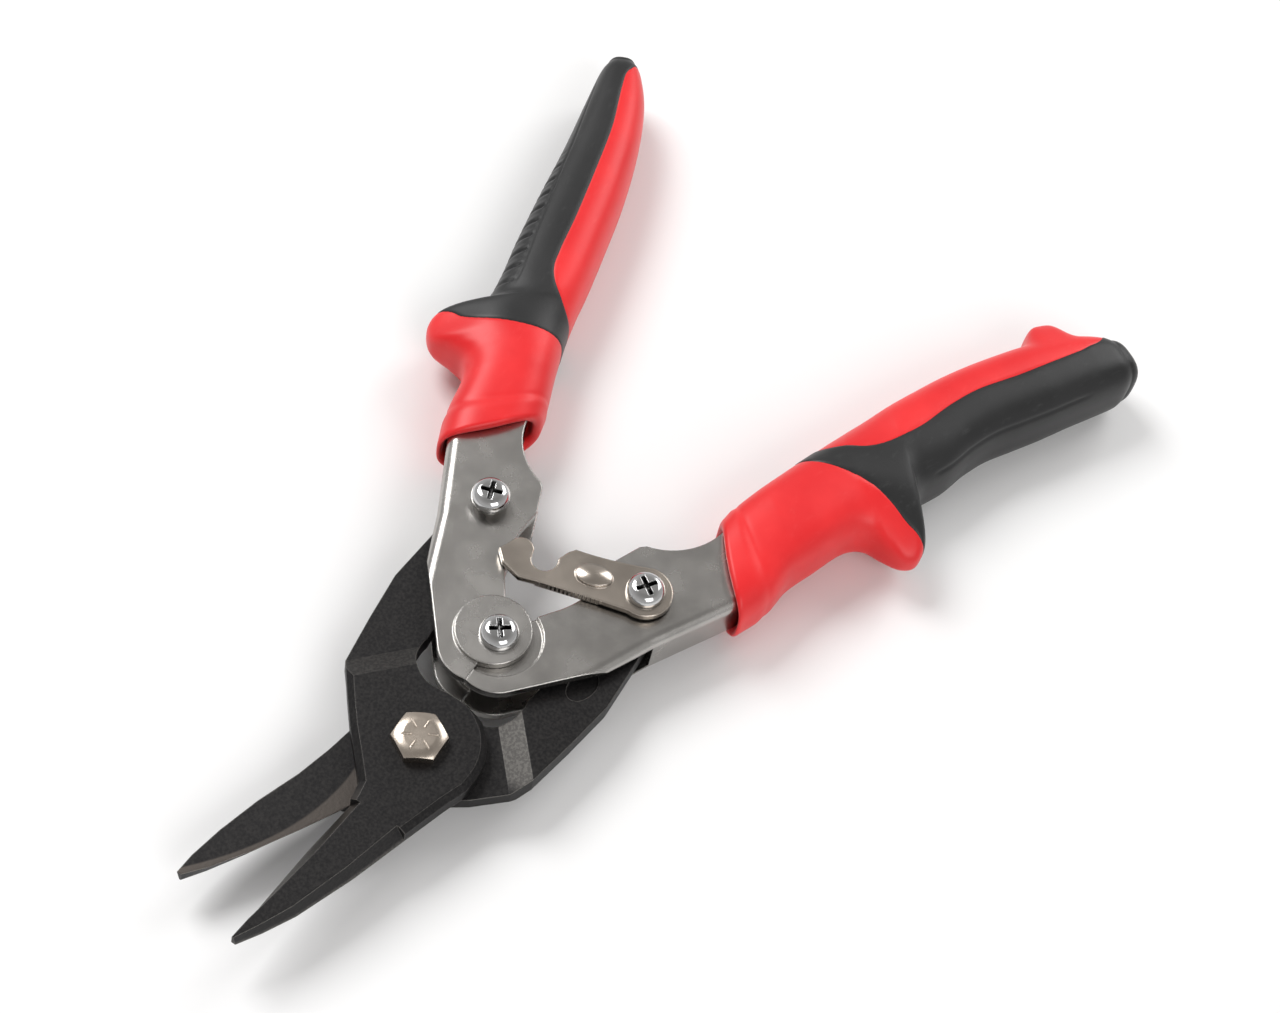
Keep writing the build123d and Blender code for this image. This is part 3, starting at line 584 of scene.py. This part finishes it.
LEG_LINE = np.array([
    # out, along, below the middle plane
    (5.35, 1.5, 2.3), (5.4, 4.0, 2.3), (5.45, 6.6, 2.35), (5.6, 9.4, 3.35), (5.65, 12.5, 3.4),
    (5.75, 22.0, 3.4), (5.9, 30.0, 3.4), (6.1, 35.4, 3.4), (6.9, 45.0, 3.4),
])
left_leg = to_frame(-1, LEG_LINE[::-1, 0], LEG_LINE[::-1, 1], LEG_LINE[::-1, 2])
right_leg = to_frame(1, LEG_LINE[:, 0], LEG_LINE[:, 1], -LEG_LINE[:, 2])
turned = np.linspace(0, 1, 49)
coil_turn = math.pi + math.asin(LEAN) + 2 * math.pi * COIL_TURNS * turned
coil = np.stack([COIL_RADIUS * np.cos(coil_turn), PIVOT[1] + COIL_RADIUS * np.sin(coil_turn),
                 PIVOT[2] + COIL_HALF * (1 - 2 * turned)], -1) * MM
spring_line = np.vstack([left_leg, coil, right_leg])
spring = grid_piece("return_spring_wire", wire_surface(spring_line), False)
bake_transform(spring)
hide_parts("return_spring")
wire = plated("spring_wire", (0.30, 0.29, 0.28), 0.34, size=1800.0, rubbed=0.0)
spring.data.materials.append(wire)
dress(["return_spring"], wire)

# ---------------------------------------------------------------- the grips
# Each grip is moulded in two shots. The red core is pushed over the channel, and shows as the
# nose with its hand guard and as the palm inlay. The soft black overmould covers the rest.

MOUTH_DEEP = 7.0
MOUTH_INSET = (2.6, 1.3, 3.2)  # the mouth inside the body: inner side, outer side, height
LIP_FRONT, LIP_BACK = 1.5, 0.6  # the rolled lip, before the first station and behind it
AROUND, ALONG = 144, 330
END_RINGS = 70  # rings in the mouth, the lip and the rounded end together
SQUARENESS = 2.9  # exponent of the section's superellipse
END_REACH = 0.30  # of the rounded end, as a share of the last section's width
GUARD_THIN, GUARD_WIDE = 0.42, 7.0
LUG_HIGH, LUG_WIDE = 4.9, 5.2
NOSE_BULGE, NOSE_RINGS = 1.7, 26
SUNK, PROUD = 0.9, 0.12  # the black surface, under the red one and over it
RED_SINK = 1.6  # the red surface, under the black one
SEAM_DEEP, SEAM_WIDE = 0.28, 0.022
GROOVE_DEEP, GROOVE_WIDE, BLOCK_FALL = 0.75, 0.085, 0.12
LIP_SWELL, LIP_LINE_DEEP = 0.35, 0.1


def step(value, low, high):
    """Smoothstep from 0 at low to 1 at high."""
    t = np.clip((value - low) / (high - low), 0, 1)
    return t * t * (3 - 2 * t)


def bell(value, middle, width):
    return np.exp(-(((value - middle) / width) ** 2))


def grip_surface(stations, high, guard, lug):
    """The grip's outside, in the handle's millimetres, from the floor of its mouth, over the
    rolled lip, along the body and round the end.

    Ring j lies across the line from the inner point a(j) to the outer point b(j):
    p = (a + b) / 2 + (b - a) / 2 * c(k) * s + w * h * d(k) * s, where c, d are the cosine and
    sine of a superellipse. guard thins the outer half, and lug pushes the inner wall out.
    Returns the points, the place of each across (-1 inner, 1 outer), and the number of each
    ring, counted from the body's first."""
    stations = np.asarray(stations, float)
    inner, outer = stations[:, :2], stations[:, 2:4]
    body = ALONG - END_RINGS
    knots = np.linspace(0, len(stations) - 1, 600)
    line = smooth_line((inner + outer) / 2, knots)
    run = np.append(0, np.cumsum(np.linalg.norm(np.diff(line, axis=0), axis=1)))
    at = np.interp(np.linspace(0, run[-1], body), run, knots)
    a, b = smooth_line(inner, at), smooth_line(outer, at)
    forward = (a[0] + b[0]) / 2 - (a[4] + b[4]) / 2
    forward /= np.linalg.norm(forward)
    onward = (a[-1] + b[-1]) / 2 - (a[-5] + b[-5]) / 2
    onward /= np.linalg.norm(onward)
    # mouth: floor, wall, then the rolled lip; body; rounded end. Each row is the shift along
    # the grip, the shrink at the inner side, at the outer side and in height, and the scale.
    rows = []
    for t in np.linspace(0.02, 1, 8):
        rows.append((0, -MOUTH_DEEP, *MOUTH_INSET, t))
    for t in np.linspace(0, 1, 12)[1:]:
        rows.append((0, -MOUTH_DEEP * (1 - t) - LIP_BACK * t, *MOUTH_INSET, 1))
    for t in np.linspace(0, math.pi, 20)[1:-1]:
        roll = (1 + math.cos(t)) / 2
        shift = LIP_FRONT * math.sin(t) - LIP_BACK * roll
        rows.append((0, shift, *(inset * roll for inset in MOUTH_INSET), 1))
    front = len(rows)
    for j in range(body):
        rows.append((j, 0, 0, 0, 0, 1))
    for t in np.linspace(0, math.pi / 2, END_RINGS - front + 1)[1:]:
        rows.append((body - 1, 0, 0, 0, 0, max(0.02, math.cos(t) ** 0.8)))
    rows = np.array(rows)
    j = rows[:, 0].astype(int)
    ends = np.arange(len(rows)) - (front + body - 1)
    lift = np.where(ends > 0, np.sin(np.clip(ends, 0, None) / max(1, ends.max()) * math.pi / 2), 0)
    a, b, at = a[j], b[j], at[j]
    along = rows[:, 1:2] * forward
    a, b = a + along, b + along
    across = (b - a) / np.linalg.norm(b - a, axis=1, keepdims=True)
    a, b = a + across * rows[:, 2:3], b - across * rows[:, 3:4]
    end_reach = END_REACH * np.linalg.norm(b[-1] - a[-1])
    middle, half = (a + b) / 2 + onward * (lift * end_reach)[:, None], (b - a) / 2
    tall = np.interp(at, np.arange(len(stations)), stations[:, 4]) * high - rows[:, 4]
    scale = rows[:, 5]
    turn = np.linspace(0, 2 * math.pi, AROUND, endpoint=False)
    power = 2 / SQUARENESS
    c = np.sign(np.cos(turn)) * np.abs(np.cos(turn)) ** power
    d = np.sign(np.sin(turn)) * np.abs(np.sin(turn)) ** power
    c, d = c[None, :], d[None, :]
    v = (middle[:, 1:2] + half[:, 1:2] * c)
    thin = 1 - GUARD_THIN * bell(v, guard, GUARD_WIDE) * step(c, -0.1, 1.0)
    push = np.zeros_like(v)
    if lug:
        push = LUG_HIGH * np.exp(-(((v - lug) / LUG_WIDE) ** 4)) * step(-c, 0.2, 0.9)
        push = push * step(np.abs(d), 0.96, 0.5)
    reach_u = half[:, 0:1] * c * scale[:, None] - across[:, 0:1] * push
    reach_v = half[:, 1:2] * c * scale[:, None] - across[:, 1:2] * push
    nose = step(np.arange(len(rows)), front + NOSE_RINGS, front)[:, None]
    bulge = NOSE_BULGE * (1 - c**2) * nose * rows[:, 5:6]
    u = middle[:, 0:1] + reach_u + forward[0] * bulge
    v = middle[:, 1:2] + reach_v + forward[1] * bulge
    w = tall[:, None] * d * thin * scale[:, None]
    points = np.stack([u, v, np.broadcast_to(w, u.shape)], -1)
    return points, np.broadcast_to(c, u.shape), np.arange(len(rows)) - front


def normals_of(points):
    """Unit normals of a ring grid, outward for rings that turn from the outer side up."""
    around = np.roll(points, -1, axis=1) - np.roll(points, 1, axis=1)
    along = np.gradient(points, axis=0)
    n = np.cross(around, along)
    return n / np.maximum(np.linalg.norm(n, axis=-1, keepdims=True), 1e-9)


def overmould_share(points, front, inlay):
    """Millimetres inside the black region: behind the front line and outside the inlay line."""
    u, v = points[..., 0], points[..., 1]
    f, i = np.asarray(front, float), np.asarray(inlay, float)
    f = smooth_line(f, np.linspace(0, len(f) - 1, 400))
    i = smooth_line(i, np.linspace(0, len(i) - 1, 400))
    f, i = f[np.argsort(f[:, 0])], i[np.argsort(i[:, 1])]
    rise, run = np.gradient(f[:, 1], f[:, 0] + 1e-6 * np.arange(len(f))), np.gradient(
        i[:, 0], i[:, 1] + 1e-6 * np.arange(len(i)))
    behind = (v - np.interp(u, f[:, 0], f[:, 1])) / np.hypot(1, np.interp(u, f[:, 0], rise))
    outside = (u - np.interp(v, i[:, 1], i[:, 0])) / np.hypot(1, np.interp(v, i[:, 1], run))
    return np.minimum(behind, outside)


def build_grip(side, word, stations, high, guard, lug, front, inlay, seam, tread):
    """The red core's surface and the black one. Each lies SUNK or RED_SINK under the other
    where the other shows, and the black is PROUD of the red beside it. seam is where the top's
    edge line runs across, and tread the places of the first and last groove with their pitch."""
    points, across, ring = grip_surface(stations, high, guard, lug)
    normal = normals_of(points)
    half_way = points[ALONG // 2]
    if np.dot(normal[ALONG // 2, 0], half_way[0] - half_way.mean(axis=0)) < 0:
        normal = -normal
    body = (ring >= 0)[:, None]
    inside = overmould_share(points, front, inlay)
    sink = -SUNK + (SUNK + PROUD) * step(inside, -0.7, 0.9)
    v = points[..., 1]
    line = bell(across, np.interp(v, seam[0], seam[1]), SEAM_WIDE)
    line = line * step(inside, 1.0, 3.0) * step(v, seam[0][0] - 1, seam[0][0] + 2)
    line = line * step(v, seam[0][-1] + 1, seam[0][-1] - 3)
    black_shift = sink - SEAM_DEEP * line
    if tread:
        start, stop, pitch = tread
        phase = (v - start) / pitch
        cut = bell(phase - np.round(phase), 0, GROOVE_WIDE)
        cut = cut * step(v, start - 1, start + 1) * step(v, stop + 1, stop - 1)
        edge = np.interp(v, seam[0], seam[1])
        cut = cut * step(across, edge + 0.02, edge + 0.12)
        block = step(across, edge, edge + 0.1) * step(v, start - 3, start) * step(v, stop + 3, stop)
        fall = (np.abs(phase - np.round(phase)) * 2) ** 4
        black_shift = black_shift - GROOVE_DEEP * cut - BLOCK_FALL * block * fall
    # the swollen lip with a fine line behind it, and the red sunk under the overmould
    lip = bell(ring, 12, 1.6)[:, None]
    swell = step(ring, 13, 7)[:, None] * step(ring, -12, -4)[:, None]
    covered = step(inside, 0.5, 2.4) * body
    red_shift = LIP_SWELL * swell - LIP_LINE_DEEP * lip - RED_SINK * covered
    black_shift = np.where(body, black_shift, -SUNK)
    made = []
    for colour, shift in (("core", red_shift), ("cover", black_shift)):
        moved = points + normal * shift[..., None]
        world_points = to_frame(side, moved[..., 0], moved[..., 1], side * moved[..., 2])
        made.append(grid_piece(f"{word}_grip_{colour}_skin", world_points, True))
    return made


LEFT_STATIONS = [
    # inner point, outer point, height
    (-14.6, 61.4, 10.6, 55.2, 0.86), (-16.5, 66.2, 8.4, 63.4, 0.92), (-18.5, 73.6, 4.6, 72.0, 0.98),
    (-19.9, 78.4, 4.2, 77.4, 1.0), (-20.9, 81.6, 7.4, 81.0, 1.0), (-21.8, 84.4, 11.3, 84.0, 1.0),
    (-22.7, 86.9, 12.1, 87.8, 1.0), (-23.8, 89.4, 10.7, 91.3, 1.0), (-24.8, 91.8, 7.4, 93.0, 1.0),
    (-25.7, 94.0, 2.4, 93.2, 1.0), (-26.9, 96.8, -2.6, 95.5, 1.0), (-29.6, 102.6, -6.8, 103.0, 1.0),
    (-34.2, 113.6, -11.4, 114.1, 1.0), (-40.6, 129.7, -18.4, 129.4, 0.99),
    (-45.8, 146.0, -25.6, 144.3, 0.97), (-48.4, 159.0, -32.3, 159.6, 0.93),
    (-48.4, 168.4, -36.8, 169.6, 0.86), (-47.2, 171.8, -39.2, 173.0, 0.76),
]
RIGHT_STATIONS = [
    (-15.6, 62.6, 10.7, 56.8, 0.86), (-18.0, 66.6, 8.0, 65.2, 0.92), (-20.7, 73.4, 3.5, 72.4, 0.98),
    (-23.5, 81.4, 0.5, 81.1, 1.0), (-25.8, 88.2, -1.9, 88.2, 1.0), (-27.0, 92.0, -2.2, 92.4, 1.0),
    (-28.2, 95.4, -0.4, 95.6, 1.0), (-29.3, 98.6, 3.6, 97.9, 1.0), (-30.4, 101.8, 7.0, 100.6, 1.0),
    (-31.3, 104.8, 7.6, 103.9, 1.0), (-32.2, 107.6, 5.0, 106.8, 1.0),
    (-33.0, 110.2, 0.6, 108.2, 1.0), (-33.7, 112.6, -4.4, 109.0, 1.0),
    (-34.5, 115.6, -8.7, 112.4, 1.0), (-36.0, 121.4, -11.2, 121.0, 1.0),
    (-37.8, 129.0, -14.4, 128.4, 1.0), (-39.2, 137.0, -16.7, 136.0, 1.0),
    (-40.2, 145.0, -17.8, 145.0, 0.99), (-40.9, 153.0, -18.8, 153.0, 0.98),
    (-41.0, 161.0, -20.1, 161.0, 0.96), (-40.2, 168.6, -21.3, 169.4, 0.93),
    (-38.4, 174.4, -22.3, 176.0, 0.88), (-36.6, 177.2, -23.6, 178.6, 0.80),
]
left_red, left_black = build_grip(
    -1, "left", LEFT_STATIONS, 10.8, guard=88.0, lug=None,
    front=[(-33, 78.0), (-27, 79.0), (-21.1, 80.5), (-15.1, 82.4), (-8.8, 83.9), (-0.6, 85.7),
           (4.0, 87.6), (8.0, 90.6), (20, 95)],
    inlay=[(-40, 80.0), (-26.0, 85.6), (-21.0, 93.6), (-19.8, 100.0), (-21.9, 106.5),
           (-26.7, 117.3), (-33.3, 133.5), (-38.6, 147.6), (-42.2, 161.0), (-45.0, 167.5),
           (-52, 170.5), (-80, 174)],
    seam=([97.0, 105.5, 118.8, 135.8, 153.5, 165.4], [0.50, 0.55, 0.60, 0.70, 0.80, 0.86]),
    tread=(98.0, 140.0, 4.7),
)
right_red, right_black = build_grip(
    1, "right", RIGHT_STATIONS, 10.8, guard=102.0, lug=162.5,
    front=[(-35, 71.0), (-29.4, 77.2), (-23.5, 84.0), (-17.6, 91.3), (-11.8, 97.0), (-5.8, 100.4),
           (-0.5, 102.6), (5.4, 105.5), (20, 109)],
    inlay=[(-48, 80.0), (-28.4, 88.0), (-23.8, 97.8), (-22.1, 102.4), (-22.0, 108.5),
           (-23.8, 117.1), (-27.2, 126.5), (-29.5, 135.5), (-30.8, 148.2), (-32.6, 161.2),
           (-33.9, 168.5), (-37.0, 175.0), (-50, 178.5), (-80, 180)],
    seam=([116.0, 140.0, 165.0], [0.9, 0.9, 0.9]),
    tread=None,
)
for word, red, black in (("left", left_red, left_black), ("right", right_red, right_black)):
    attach(red, word + "_handle")
    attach(black, word + "_handle")
    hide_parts(word + "_grip_core")
    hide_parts(word + "_grip_cover")


def rubber(name, low, high, roughness, dust, dust_amount, grain):
    """Moulded rubber: a satin skin with fine grain, cloudy sheen, and dust in patches and on the
    rubbed corners.
    """
    material, tree, principled = new_material(name, Specular_IOR_Level=0.42)
    principled.inputs["Sheen Weight"].default_value = 0.06
    speck = use(tree, "grain", Size=2200.0, Cloud=45.0, Depth=grain * MM)
    corners = use(tree, "corners", Radius=0.25 * MM, Break=300.0)
    tree.links.new(corners.outputs["Normal"], speck.inputs["Under"])
    colour = mix_colour(tree, band(tree, speck.outputs["Mottle"], 0.3, 0.72), low, high)
    scuff = node(tree, "ShaderNodeTexNoise", Scale=28.0, Detail=6.0, Roughness=0.65)
    scuffed = maths(tree, "MULTIPLY", band(tree, scuff.outputs["Fac"], 0.55, 0.8), dust_amount)
    colour = mix_colour(tree, scuffed, colour, dust)
    rubbed = maths(tree, "MULTIPLY", corners.outputs["Rubbed"], dust_amount)
    colour = mix_colour(tree, rubbed, colour, dust)
    rough = mix_value(tree, speck.outputs["Mottle"], roughness - 0.07, roughness + 0.09)
    rough = mix_value(tree, scuffed, rough, roughness + 0.2)
    tree.links.new(colour, principled.inputs["Base Color"])
    tree.links.new(rough, principled.inputs["Roughness"])
    tree.links.new(speck.outputs["Normal"], principled.inputs["Normal"])
    return material


red_rubber = rubber("red_rubber", (0.66, 0.008, 0.011), (0.76, 0.016, 0.018), 0.40,
                    (0.85, 0.16, 0.15), 0.10, 0.012)
black_rubber = rubber("black_rubber", (0.006, 0.0062, 0.0065), (0.0105, 0.0105, 0.011), 0.44,
                      (0.055, 0.056, 0.055), 0.30, 0.02)
for piece in (left_red, right_red):
    piece.data.materials.append(red_rubber)
for piece in (left_black, right_black):
    piece.data.materials.append(black_rubber)
dress(["left_grip_core", "right_grip_core"], red_rubber)
dress(["left_grip_cover", "right_grip_cover"], black_rubber)
